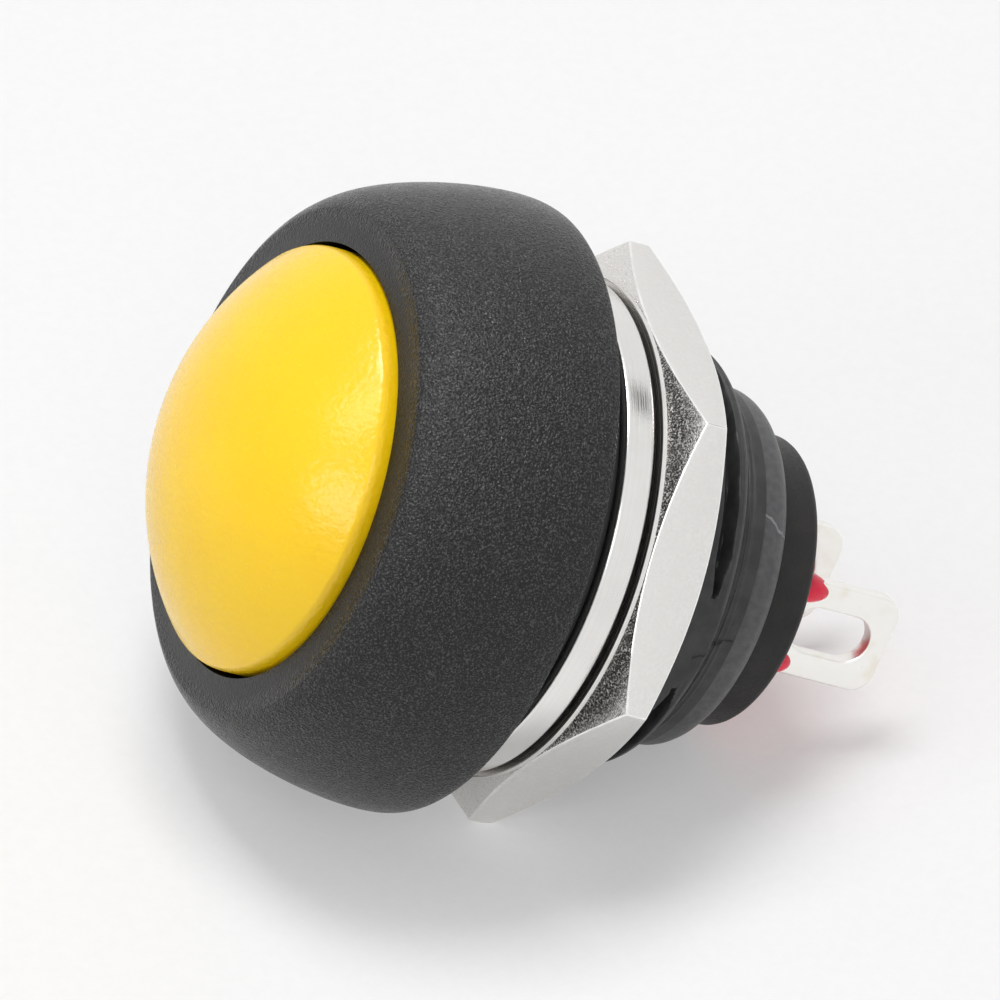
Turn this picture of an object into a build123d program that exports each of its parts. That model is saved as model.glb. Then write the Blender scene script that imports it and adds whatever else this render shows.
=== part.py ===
from build123d import *
import math
import os

# A panel-mount momentary pushbutton switch with a domed cap, one solid for each of its pieces.
#
# The switch axis lies along Y. The button faces -Y, the solder lugs point to +Y and +Z is up.
# The origin is on the axis, in the plane of the bezel's underside, which seats on the panel.
# All sizes are in millimetres, and "y" values are stations along the axis.

os.makedirs("parts", exist_ok=True)

# Clearances
running_gap = 0.05      # radial, between a piece that slides or turns and its guide
fitted_gap = 0.02       # between pieces that are assembled once and stay put
stop_gap = 0.05         # left open at the end of the button's travel

# Housing: bezel and threaded shank in one moulding
bezel_height = 5.75
mouth_radius = 6.05
mouth_chamfer = 0.35
crown_width = 2.05      # from the chamfer's outer edge to the rim
crown_shoulder = 0.88   # share of that width at which the crown turns down
crown_drop = 0.10       # share of the bezel's height lost by then
belly_bulge = 0.15      # how far the crown's curve is pulled out beyond the rim, as a share of its width
belly_height = 0.13
thread_radius = 5.95    # crest of the M12 x 0.75 thread
thread_length = 5.45
thread_flat = 0.20      # depth of the two flats where the thread is interrupted
thread_run_out = 0.50
relief_depth = 0.90     # below the thread's crest
lip_step = 0.08         # from the relief down to the rolled lip that holds the terminal base
lip_length = 0.83
lip_thickness = 0.43    # of the part that is rolled inwards behind the terminal base's flange
lip_bevel = 0.20
chamber_wall = 0.95     # wall left round the contact chamber, under the relief
web_front_y = -1.60
web_rear_y = 1.20

# Button cap and plunger
travel = 1.50
cap_gap = 0.25          # ring-shaped gap between the cap and the mouth
cap_edge_proud = 0.20   # how far the cap's edge stands in front of the bezel
cap_dome = 1.95
cap_wall = 1.00
cap_crown_wall = 1.35
cap_inner_bevel = 0.65  # inside, between crown and skirt, under the dome's lower edge
cap_shoulder = 0.30
socket_wall = 1.40
stem_radius = 2.00
neck_radius = 1.60
neck_length = 2.70
flange_radius = 2.80
flange_thickness = 0.58
spigot_radius = 1.00
spigot_tip = 0.45       # length of the spigot behind the clip
seal_section = 0.54
seal_sides = 8
seal_groove_extra = 0.06
seal_front_y = -1.15

# Springs
steps_per_turn = 14
wire_sides = 6
return_wire = 0.40
return_turns = 4.5
return_mean_radius = 3.85
contact_wire = 0.24
contact_turns = 4.0
contact_spring_length = 1.60
contact_spring_gap = 0.20 # radial, between the spring and the spigot

# Contacts
bridge_length = 6.80
bridge_width = 2.60
bridge_thickness = 0.30
contact_offset = 2.70
contact_radius = 0.70
contact_height = 0.25
fixed_contact_height = 0.32
rivet_radius = 0.35
rivet_head_radius = 0.55
rivet_head_height = 0.15
clip_radius = 1.85
clip_thickness = 0.25
clip_slots = 3
clip_slot_width = 0.50

# Terminals, base and potting
blade_thickness = 0.50
blade_width = 2.80
blade_offset = 2.15
lug_reach = 3.57        # how far the lugs stand out of the base
lug_corner = 0.60
eye_width = 1.36
eye_length = 2.40
eye_rim = 0.55          # metal left between the eye and the lug's tip
foot_reach = 3.50
foot_corner = 0.40
base_flange_step = 0.33 # how far the flange stands out beyond the plug
lip_wall = 0.92
base_flange_thickness = 0.88
base_length = 2.73
base_bevel = 0.15
well_wall = 0.58
well_depth = 0.83
potting_drop = 0.08     # potting surface below the base's rear edge
bead_root_radius = 0.95
bead_tip_radius = 0.45
bead_reach = 1.45
bead_sides = 8

# Seal ring, spacer ring and nut on the shank
gasket_width = 0.70
gasket_thickness = 1.15
ring_play = 0.10
ring_width = 0.85
ring_thickness = 0.93
ring_chamfer = 0.12
nut_gap = 0.18
nut_wall = 1.05         # from the thread's crest to the flats: 14 mm across flats
nut_thickness = 2.00
nut_face_inset = 0.28   # from the flats in to the flat annulus left by the corner chamfer
nut_chamfer_angle = 27.0
nut_bore_chamfer = 0.30
nut_phase = 48.3        # degrees from +X to the first corner, towards +Z

# Looking along the shank from the panel seat: local x is +X and the normal is +Y.
seat = Plane(origin=(0, 0, 0), x_dir=(1, 0, 0), z_dir=(0, 1, 0))

# Stations worked out from the sizes above
bezel_front_y = -bezel_height
mouth_edge_y = bezel_front_y + mouth_chamfer
crown_radius = mouth_radius + mouth_chamfer
rim_radius = crown_radius + crown_width
relief_radius = thread_radius - relief_depth
lip_radius = relief_radius - lip_step
chamber_radius = relief_radius - chamber_wall
thread_end_y = thread_length + thread_run_out

skirt_radius = mouth_radius - cap_gap
cap_edge_y = bezel_front_y - cap_edge_proud
cap_apex_y = cap_edge_y - cap_dome
dome_radius = (skirt_radius**2 + cap_dome**2) / (2 * cap_dome)
dome_angle = math.degrees(math.asin((skirt_radius - cap_shoulder) / dome_radius))
cap_ceiling_y = cap_apex_y + cap_crown_wall
cap_rear_y = web_front_y - travel - stop_gap

bore_radius = stem_radius + running_gap
neck_rear_y = cap_ceiling_y + neck_length
flange_front_y = web_rear_y + fitted_gap
flange_rear_y = flange_front_y + flange_thickness
bridge_front_y = flange_rear_y + contact_spring_length
bridge_rear_y = bridge_front_y + bridge_thickness
clip_front_y = bridge_rear_y + fitted_gap
clip_rear_y = clip_front_y + clip_thickness
spigot_end_y = clip_rear_y + spigot_tip
clip_groove_radius = spigot_radius - 0.25
moving_contact_y = bridge_rear_y + contact_height

fixed_contact_y = moving_contact_y + travel + stop_gap
foot_front_y = fixed_contact_y + fixed_contact_height
base_front_y = foot_front_y + blade_thickness
base_shoulder_y = base_front_y + base_flange_thickness
base_rear_y = base_front_y + base_length
lip_bore_radius = lip_radius - lip_wall
lip_inner_y = base_shoulder_y + fitted_gap
housing_end_y = lip_inner_y + lip_thickness
lip_front_y = housing_end_y - lip_length
base_radius = lip_bore_radius - fitted_gap
base_flange_radius = base_radius + base_flange_step
base_pocket_radius = base_flange_radius + running_gap
lug_tip_y = base_rear_y + lug_reach
eye_centre_y = lug_tip_y - eye_rim - eye_length / 2
blade_inner_x = blade_offset - blade_thickness / 2
blade_outer_x = blade_offset + blade_thickness / 2
well_floor_y = base_rear_y - well_depth
well_radius = base_radius - well_wall
potting_y = base_rear_y - potting_drop

ring_front_y = gasket_thickness + fitted_gap
ring_rear_y = ring_front_y + ring_thickness
nut_front_y = ring_rear_y + nut_gap
nut_rear_y = nut_front_y + nut_thickness
ring_bore_radius = thread_radius + ring_play
nut_bore_radius = thread_radius + running_gap
nut_flat_radius = thread_radius + nut_wall
nut_face_radius = nut_flat_radius - nut_face_inset
nut_cone_radius = nut_face_radius + nut_thickness / 2 / math.tan(math.radians(nut_chamfer_angle))


def save(name, label):
    """Label a finished piece and write it as a STEP file of the same name."""
    name.part.label = label
    export_step(name.part, f"parts/{label}.step")


# Housing. The crown runs from the chamfered mouth round to the rim in one curve. Behind the seat are
# the thread's crest cylinder, the relief, and the lip that is rolled over the terminal base.
with BuildPart() as housing:
    with BuildSketch(Plane.XY) as housing_profile:
        with BuildLine():
            Bezier(
                (crown_radius, bezel_front_y),
                (crown_radius + crown_width * crown_shoulder, bezel_front_y * (1 - crown_drop)),
                (rim_radius + crown_width * belly_bulge, bezel_front_y * belly_height),
                (rim_radius, 0),
            )
            Polyline(
                (rim_radius, 0),
                (thread_radius, 0),
                (thread_radius, thread_length),
                (relief_radius, thread_end_y),
                (relief_radius, lip_front_y),
                (lip_radius, lip_front_y),
                (lip_radius, housing_end_y),
                (lip_bore_radius, housing_end_y),
                (lip_bore_radius, lip_inner_y),
                (base_pocket_radius, lip_inner_y),
                (base_pocket_radius, base_front_y),
                (chamber_radius, base_front_y),
                (chamber_radius, web_rear_y),
                (bore_radius, web_rear_y),
                (bore_radius, web_front_y),
                (mouth_radius, web_front_y),
                (mouth_radius, mouth_edge_y),
                (crown_radius, bezel_front_y),
            )
        make_face()
    revolve(axis=Axis.Y)
    lip_edge = housing.edges().filter_by(GeomType.CIRCLE).group_by(Axis.Y)[-1].sort_by(SortBy.RADIUS)[-1]
    chamfer(lip_edge, lip_bevel)
    # The thread is interrupted by a flat on each side, along the mould's parting plane.
    with BuildSketch(seat) as thread_flats:
        Circle(rim_radius)
        Rectangle(2 * (thread_radius - thread_flat), 2 * rim_radius, mode=Mode.SUBTRACT)
    extrude(amount=thread_end_y, mode=Mode.SUBTRACT)
save(housing, "housing")

# Button cap: a domed shell with a skirt that is guided in the mouth, and a socket for the plunger.
with BuildPart() as button_cap:
    with BuildSketch(Plane.XY) as cap_profile:
        with BuildLine():
            dome = CenterArc((0, cap_apex_y + dome_radius), dome_radius, -90, dome_angle)
            shoulder_corner = dome @ 1 + (dome % 1) * (cap_shoulder / (dome % 1).X)
            shoulder_end = shoulder_corner + Vector(0, cap_shoulder)
            Bezier(dome @ 1, shoulder_corner, shoulder_end)
            Polyline(
                shoulder_end,
                (skirt_radius, cap_rear_y),
                (skirt_radius - cap_wall, cap_rear_y),
                (skirt_radius - cap_wall, cap_ceiling_y + cap_inner_bevel),
                (skirt_radius - cap_wall - cap_inner_bevel, cap_ceiling_y),
                (neck_radius + socket_wall, cap_ceiling_y),
                (neck_radius + socket_wall, neck_rear_y),
                (neck_radius + fitted_gap, neck_rear_y),
                (neck_radius + fitted_gap, cap_ceiling_y),
                (0, cap_ceiling_y),
                (0, cap_apex_y),
            )
        make_face()
    revolve(axis=Axis.Y)
save(button_cap, "button_cap")

# Plunger: neck, guided stem with the seal's groove, retaining flange and the bridge's spigot.
seal_rear_y = seal_front_y + seal_section + seal_groove_extra
seal_groove_radius = bore_radius - seal_section - fitted_gap
with BuildPart() as plunger:
    with BuildSketch(Plane.XY) as plunger_profile:
        with BuildLine():
            Polyline(
                (0, cap_ceiling_y + fitted_gap),
                (neck_radius, cap_ceiling_y + fitted_gap),
                (neck_radius, neck_rear_y + fitted_gap),
                (stem_radius, neck_rear_y + fitted_gap),
                (stem_radius, seal_front_y),
                (seal_groove_radius, seal_front_y),
                (seal_groove_radius, seal_rear_y),
                (stem_radius, seal_rear_y),
                (stem_radius, flange_front_y),
                (flange_radius, flange_front_y),
                (flange_radius, flange_rear_y),
                (spigot_radius, flange_rear_y),
                (spigot_radius, clip_front_y),
                (clip_groove_radius, clip_front_y),
                (clip_groove_radius, clip_rear_y),
                (spigot_radius, clip_rear_y),
                (spigot_radius, spigot_end_y - spigot_radius / 3),
                (spigot_radius * 2 / 3, spigot_end_y),
                (0, spigot_end_y),
                close=True,
            )
        make_face()
    revolve(axis=Axis.Y)
save(plunger, "plunger")

# Plunger seal: an O-ring in the stem's groove.
seal_mean_radius = seal_groove_radius + seal_section / 2 + fitted_gap / 2
with BuildPart() as plunger_seal:
    with BuildSketch(Plane.XY) as seal_profile:
        with Locations((seal_mean_radius, (seal_front_y + seal_rear_y) / 2)):
            RegularPolygon(seal_section / 2, seal_sides)
    revolve(axis=Axis.Y)
save(plunger_seal, "plunger_seal")


def coil(wire, mean_radius, front_y, rear_y, turns):
    """Build a compression spring that stands between two seats, its wire bent in short mitred steps."""
    lead = (wire + fitted_gap) / 2
    rise = (rear_y - front_y - 2 * lead) / (turns * steps_per_turn)
    path = []
    for step in range(int(turns * steps_per_turn) + 1):
        angle = 2 * math.pi * step / steps_per_turn
        path.append((mean_radius * math.cos(angle), front_y + lead + rise * step, mean_radius * math.sin(angle)))
    with BuildPart() as spring:
        with BuildLine() as wire_line:
            Polyline(*path)
        with BuildSketch(Plane(origin=wire_line.line @ 0, z_dir=wire_line.line % 0)):
            RegularPolygon(wire / 2, wire_sides)
        sweep(path=wire_line.line, transition=Transition.RIGHT)
    return spring


# Return spring: it stands on the housing's web and pushes the cap forward.
return_spring = coil(return_wire, return_mean_radius, cap_ceiling_y, web_front_y, return_turns)
save(return_spring, "return_spring")

# Contact spring: it backs the bridge, so that both contacts close with pressure.
contact_mean_radius = spigot_radius + contact_wire / 2 + contact_spring_gap
contact_spring = coil(contact_wire, contact_mean_radius, flange_rear_y, bridge_front_y, contact_turns)
save(contact_spring, "contact_spring")

# Contact bridge: a round-ended strip with a guide hole and two rivet holes.
with BuildPart() as contact_bridge:
    with BuildSketch(seat.offset(bridge_front_y)) as bridge_profile:
        SlotOverall(bridge_length, bridge_width)
        Circle(spigot_radius + running_gap, mode=Mode.SUBTRACT)
        with Locations((-contact_offset, 0), (contact_offset, 0)):
            Circle(rivet_radius, mode=Mode.SUBTRACT)
    extrude(amount=bridge_thickness)
save(contact_bridge, "contact_bridge")


# Bridge contacts: silver rivets through the bridge, upset on its front.
for side, side_name in ((-1, "left"), (1, "right")):
    with BuildPart() as bridge_contact:
        with BuildSketch(seat.offset(bridge_rear_y)) as contact_button:
            with Locations((side * contact_offset, 0)):
                Circle(contact_radius)
        extrude(amount=contact_height)
        with BuildSketch(seat.offset(bridge_front_y - rivet_head_height)) as contact_shank:
            with Locations((side * contact_offset, 0)):
                Circle(rivet_radius)
        extrude(amount=bridge_thickness + rivet_head_height)
        with BuildSketch(seat.offset(bridge_front_y - rivet_head_height)) as upset_head:
            with Locations((side * contact_offset, 0)):
                Circle(rivet_head_radius)
        extrude(amount=rivet_head_height)
    save(bridge_contact, f"bridge_contact_{side_name}")

# Bridge clip: a slotted push-on washer that keeps the bridge on the spigot.
with BuildPart() as bridge_clip:
    with BuildSketch(seat.offset(clip_front_y)) as clip_profile:
        Circle(clip_radius)
        Circle(clip_groove_radius + fitted_gap, mode=Mode.SUBTRACT)
        with PolarLocations((clip_groove_radius + spigot_radius) / 2, clip_slots, start_angle=90):
            Rectangle(clip_slot_width, clip_slot_width, mode=Mode.SUBTRACT)
    extrude(amount=clip_thickness)
save(bridge_clip, "bridge_clip")

# Terminals: a bent strip. Its foot carries the fixed contact inside, and its blade runs through the
# base to a solder lug with rounded corners and an oblong eye.
with BuildPart() as terminal_right:
    with BuildSketch(Plane.XY) as strip_profile:
        with BuildLine():
            Polyline(
                (blade_inner_x, lug_tip_y),
                (blade_outer_x, lug_tip_y),
                (blade_outer_x, base_front_y),
                (foot_reach, base_front_y),
                (foot_reach, foot_front_y),
                (blade_inner_x, foot_front_y),
                close=True,
            )
        make_face()
        fillet(strip_profile.vertices().sort_by_distance((blade_inner_x, foot_front_y))[0],
               blade_thickness * 0.8)
    extrude(amount=blade_width / 2, both=True)
    fillet(terminal_right.edges().filter_by(Axis.X).group_by(Axis.Y)[-1], lug_corner)
    chamfer(terminal_right.edges().filter_by(Axis.Y).group_by(Axis.X)[-1], foot_corner)
    with BuildSketch(Plane.YZ.offset(blade_offset)) as eye_profile:
        with Locations((eye_centre_y, 0)):
            SlotOverall(eye_length, eye_width)
    extrude(amount=blade_thickness, both=True, mode=Mode.SUBTRACT)
    with BuildSketch(seat.offset(foot_front_y)) as foot_hole:
        with Locations((contact_offset, 0)):
            Circle(rivet_radius)
    extrude(amount=blade_thickness, mode=Mode.SUBTRACT)
save(terminal_right, "terminal_right")

with BuildPart() as terminal_left:
    mirror(terminal_right.part, about=Plane.YZ)
save(terminal_left, "terminal_left")

# Fixed contacts: silver rivets set flush in the terminals' feet.
for side, side_name in ((-1, "left"), (1, "right")):
    with BuildPart() as fixed_contact:
        with BuildSketch(seat.offset(fixed_contact_y)):
            with Locations((side * contact_offset, 0)):
                Circle(contact_radius)
        extrude(amount=fixed_contact_height)
        with BuildSketch(seat.offset(foot_front_y)):
            with Locations((side * contact_offset, 0)):
                Circle(rivet_radius)
        extrude(amount=blade_thickness)
    save(fixed_contact, f"fixed_contact_{side_name}")

# Terminal base: a flanged plug with two slots for the blades and a well for the potting.
with BuildPart() as terminal_base:
    with BuildSketch(Plane.XY) as base_profile:
        with BuildLine():
            Polyline(
                (0, base_front_y),
                (base_flange_radius, base_front_y),
                (base_flange_radius, base_shoulder_y),
                (base_radius, base_shoulder_y),
                (base_radius, base_rear_y),
                (well_radius, base_rear_y),
                (well_radius, well_floor_y),
                (0, well_floor_y),
                close=True,
            )
        make_face()
        chamfer(base_profile.vertices().sort_by_distance((base_radius, base_rear_y))[0], base_bevel)
    revolve(axis=Axis.Y)
    with BuildSketch(seat.offset(base_front_y)) as blade_slots:
        with Locations((-blade_offset, 0), (blade_offset, 0)):
            Rectangle(blade_thickness + 2 * fitted_gap, blade_width + 2 * fitted_gap)
    extrude(amount=base_length, mode=Mode.SUBTRACT)
save(terminal_base, "terminal_base")

# Potting: resin that fills the well round the blades and climbs each leg of the two lugs in a bead.
leg_centre = (blade_width + eye_width) / 4
with BuildPart() as potting:
    with BuildSketch(seat.offset(well_floor_y)):
        Circle(well_radius)
    extrude(amount=potting_y - well_floor_y)
    for leg_x in (-blade_offset, blade_offset):
        for leg_z in (-leg_centre, leg_centre):
            with BuildSketch(seat.offset(potting_y)):
                with Locations((leg_x, leg_z)):
                    RegularPolygon(bead_root_radius, bead_sides)
            with BuildSketch(seat.offset(potting_y + bead_reach)):
                with Locations((leg_x, leg_z)):
                    RegularPolygon(bead_tip_radius, bead_sides)
            loft()
    for lug_x in (-blade_offset, blade_offset):
        with BuildSketch(seat.offset(well_floor_y)):
            with Locations((lug_x, 0)):
                Rectangle(blade_thickness, blade_width)
        extrude(amount=base_length + lug_reach, mode=Mode.SUBTRACT)
    with BuildSketch(Plane.YZ) as clear_eyes:
        with Locations((eye_centre_y, 0)):
            SlotOverall(eye_length, eye_width)
    extrude(amount=base_radius, both=True, mode=Mode.SUBTRACT)
save(potting, "potting")

# Panel gasket: a rubber ring under the bezel.
with BuildPart() as panel_gasket:
    with BuildSketch(seat) as gasket_profile:
        Circle(thread_radius + running_gap + gasket_width)
        Circle(thread_radius + running_gap, mode=Mode.SUBTRACT)
    extrude(amount=gasket_thickness)
save(panel_gasket, "panel_gasket")

# Spacer ring: a turned washer between the gasket and the nut.
with BuildPart() as spacer_ring:
    with BuildSketch(seat.offset(ring_front_y)) as ring_profile:
        Circle(ring_bore_radius + ring_width)
        Circle(ring_bore_radius, mode=Mode.SUBTRACT)
    extrude(amount=ring_thickness)
    chamfer(spacer_ring.edges().filter_by(GeomType.CIRCLE).group_by(SortBy.RADIUS)[-1], ring_chamfer)
save(spacer_ring, "spacer_ring")

# Hex nut: the corners are chamfered on both faces by one double cone.
with BuildPart() as hex_nut:
    with BuildSketch(seat.offset(nut_front_y)) as nut_profile:
        RegularPolygon(nut_flat_radius, 6, major_radius=False, rotation=-nut_phase)
        Circle(nut_bore_radius, mode=Mode.SUBTRACT)
    extrude(amount=nut_thickness)
    with BuildSketch(Plane.XY) as corner_profile:
        with BuildLine():
            Polyline(
                (0, nut_front_y),
                (nut_face_radius, nut_front_y),
                (nut_cone_radius, (nut_front_y + nut_rear_y) / 2),
                (nut_face_radius, nut_rear_y),
                (0, nut_rear_y),
                close=True,
            )
        make_face()
    revolve(axis=Axis.Y, mode=Mode.INTERSECT)
    chamfer(hex_nut.edges().filter_by(GeomType.CIRCLE).group_by(SortBy.RADIUS)[0], nut_bore_chamfer)
save(hex_nut, "hex_nut")
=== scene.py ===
"""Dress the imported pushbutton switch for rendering: its skins, finishes, table, lights and camera.

The switch axis lies along Y. The button faces -Y, the solder lugs point to +Y and +Z is up. The
origin is on the axis, in the plane of the bezel's underside. Sizes in the classes are millimetres
and become metres where a mesh is built. A "station" is a place along the axis, and a "turn" is an
angle about it, from +X towards +Z, in degrees.
"""

import enum
import logging
import math
from dataclasses import dataclass
from typing import Iterable, Sequence

import bmesh
import bpy
from mathutils import Matrix, Vector
from mathutils.geometry import interpolate_bezier


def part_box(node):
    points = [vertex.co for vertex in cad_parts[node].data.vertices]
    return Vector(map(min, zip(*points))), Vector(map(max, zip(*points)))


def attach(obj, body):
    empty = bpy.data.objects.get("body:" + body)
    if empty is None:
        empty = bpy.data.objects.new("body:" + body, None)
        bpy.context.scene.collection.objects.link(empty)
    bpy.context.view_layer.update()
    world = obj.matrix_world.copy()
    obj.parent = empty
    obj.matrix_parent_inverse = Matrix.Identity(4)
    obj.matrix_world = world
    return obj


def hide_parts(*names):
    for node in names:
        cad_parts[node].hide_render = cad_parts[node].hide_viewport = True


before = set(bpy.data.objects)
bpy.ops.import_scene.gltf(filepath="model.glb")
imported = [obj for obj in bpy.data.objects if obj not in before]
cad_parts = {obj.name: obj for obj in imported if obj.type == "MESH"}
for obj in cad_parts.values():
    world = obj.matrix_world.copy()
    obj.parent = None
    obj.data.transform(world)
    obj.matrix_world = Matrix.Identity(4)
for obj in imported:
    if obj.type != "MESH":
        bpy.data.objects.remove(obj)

BMesh = bmesh.types.BMesh
Colour = tuple[float, float, float]
Material = bpy.types.Material
Socket = bpy.types.NodeSocket

LOG = logging.getLogger("switch")
MM = 0.001
AXIS = Vector((0.0, 1.0, 0.0))
WELD = 1e-7


class Body(enum.Enum):
    """The moving groups of the switch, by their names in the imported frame."""

    SWITCH = "switch_body"
    BUTTON = "button"
    RING = "ring"
    NUT = "nut"


# ---- Places and meshes ----


def place(radius: float, station: float, turn: float = 0.0) -> Vector:
    """Give a point in metres by radius and station in millimetres and turn in degrees."""
    angle = math.radians(turn)
    return Vector((radius * math.cos(angle), station, radius * math.sin(angle))) * MM


def turn_of(point: Vector) -> float:
    """Give a point's turn about the axis, from -180 to 180 degrees."""
    return math.degrees(math.atan2(point.z, point.x))


def reach_of(point: Vector) -> float:
    """Give a point's distance from the axis in millimetres."""
    return math.hypot(point.x, point.z) / MM


def ease(value: float, low: float, high: float) -> float:
    """Rise smoothly from 0 at low to 1 at high."""
    share = min(max((value - low) / (high - low), 0.0), 1.0)
    return share * share * (3.0 - 2.0 * share)


def outline(bm: BMesh, points: Sequence[Vector],
            closed: bool = True) -> list[bmesh.types.BMVert]:
    """Join points by edges, closed to a loop or open, and return the vertices."""
    verts = [bm.verts.new(p) for p in points]
    pairs = list(zip(verts, verts[1:]))
    if closed:
        pairs.append((verts[-1], verts[0]))
    for pair in pairs:
        bm.edges.new(pair)
    return verts


def round_corners(bm: BMesh, corners: Sequence[bmesh.types.BMVert], size: float,
                  segments: int) -> list[bmesh.types.BMVert]:
    """Round corners of an outline by a size in millimetres, and return the new vertices."""
    made = bmesh.ops.bevel(bm, geom=list(corners), offset=size * MM, affect="VERTICES",
                           segments=segments, profile=0.5, material=-1)
    return made["verts"]


def spin_round(bm: BMesh, steps: int) -> None:
    """Spin an outline once round the switch axis in a number of steps, and close what meets."""
    bmesh.ops.spin(bm, geom=bm.verts[:] + bm.edges[:], cent=(0, 0, 0), axis=AXIS,
                   angle=2 * math.pi, steps=steps, use_merge=True)
    bmesh.ops.remove_doubles(bm, verts=bm.verts, dist=WELD)
    bmesh.ops.recalc_face_normals(bm, faces=bm.faces)


def turned(corners: Sequence[tuple[float, float]], steps: int,
           rounds: Sequence[tuple[int, float, int]] = (), closed: bool = True) -> BMesh:
    """Draw a section and spin it round the switch axis.

    Args:
        corners: The section's corners, as radius and station in millimetres.
        steps: Number of steps in the full turn.
        rounds: Corners to round first, each as its number, size in millimetres and segments.
        closed: Whether the last corner joins the first.

    Returns:
        The mesh.
    """
    bm = bmesh.new()
    drawn = outline(bm, [place(*corner) for corner in corners], closed)
    for number, size, segments in rounds:
        round_corners(bm, [drawn[number]], size, segments)
    spin_round(bm, steps)
    return bm


def soften(bm: BMesh, edges: Iterable[bmesh.types.BMEdge], width: float,
           material: int = -1) -> None:
    """Round edges by a width in millimetres, with a material number or that beside them."""
    bmesh.ops.bevel(bm, geom=list(edges), offset=width * MM, offset_type="OFFSET", affect="EDGES",
                    segments=3, profile=0.5, material=material, clamp_overlap=True)


def new_object(name: str, data: bpy.types.ID) -> bpy.types.Object:
    """Put a mesh, lamp or camera into the scene."""
    made = bpy.data.objects.new(name, data)
    bpy.context.scene.collection.objects.link(made)
    return made


def mesh_object(bm: BMesh, name: str,
                materials: Sequence[Material]) -> bpy.types.Object:
    """Turn a bmesh into an object with its materials, and free the bmesh."""
    mesh = bpy.data.meshes.new(name)
    bm.to_mesh(mesh)
    bm.free()
    for material in materials:
        mesh.materials.append(material)
    return new_object(name, mesh)


def finish_piece(bm: BMesh, name: str, materials: Sequence[Material],
                 body: Body, node: str, angle: float = 40.0) -> None:
    """Turn a finished bmesh into a piece of the switch.

    Args:
        bm: The mesh, in metres and in the switch's frame. It is freed.
        name: Name of the new object.
        materials: Its materials, in the order of the faces' material numbers.
        body: The group that the piece moves with.
        node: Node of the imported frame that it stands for.
        angle: Edges sharper than this many degrees stay sharp in the shading.
    """
    for face in bm.faces:
        face.smooth = True
    for edge in bm.edges:
        edge.smooth = edge.calc_face_angle(0.0) < math.radians(angle)
    piece = mesh_object(bm, name, materials)
    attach(piece, body.value)
    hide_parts(node)
    LOG.info("%s: %d faces, rides on %s", name, len(piece.data.polygons), body.value)


# ---- Finishes ----


def dimmed(colour: Colour, share: float) -> Colour:
    """Give a colour times a share, held at 1."""
    return tuple(min(c * share, 1.0) for c in colour)


class Tree:
    """A node tree under construction, with short ways to add and join nodes."""

    def __init__(self, tree: bpy.types.NodeTree) -> None:
        """Empty the tree."""
        self.tree = tree
        tree.nodes.clear()

    def node(self, kind: str, **settings: object) -> bpy.types.Node:
        """Add a node and set its properties."""
        made = self.tree.nodes.new(kind)
        for key, value in settings.items():
            setattr(made, key, value)
        return made

    def join(self, source: Socket, target: Socket) -> None:
        """Link one socket to another."""
        self.tree.links.new(source, target)

    def math(self, operation: str, first: Socket | float, second: Socket | float = 0.0) -> Socket:
        """Join two values, or numbers, by a Math node, and return its result."""
        made = self.node("ShaderNodeMath", operation=operation)
        for index, value in enumerate((first, second)):
            if isinstance(value, (int, float)):
                made.inputs[index].default_value = value
            else:
                self.join(value, made.inputs[index])
        return made.outputs[0]

    def seen(self) -> Socket:
        """Give 1 where the camera or a mirror looks, and 0 for all other light."""
        path = self.node("ShaderNodeLightPath")
        return self.math("MAXIMUM", path.outputs["Is Camera Ray"], path.outputs["Is Glossy Ray"])

    def mixed(self, share: Socket, first: Socket, second: Socket) -> Socket:
        """Mix two shaders, by 0 for the first and 1 for the second."""
        made = self.node("ShaderNodeMixShader")
        for source, target in zip((share, first, second), made.inputs):
            self.join(source, target)
        return made.outputs["Shader"]


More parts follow.
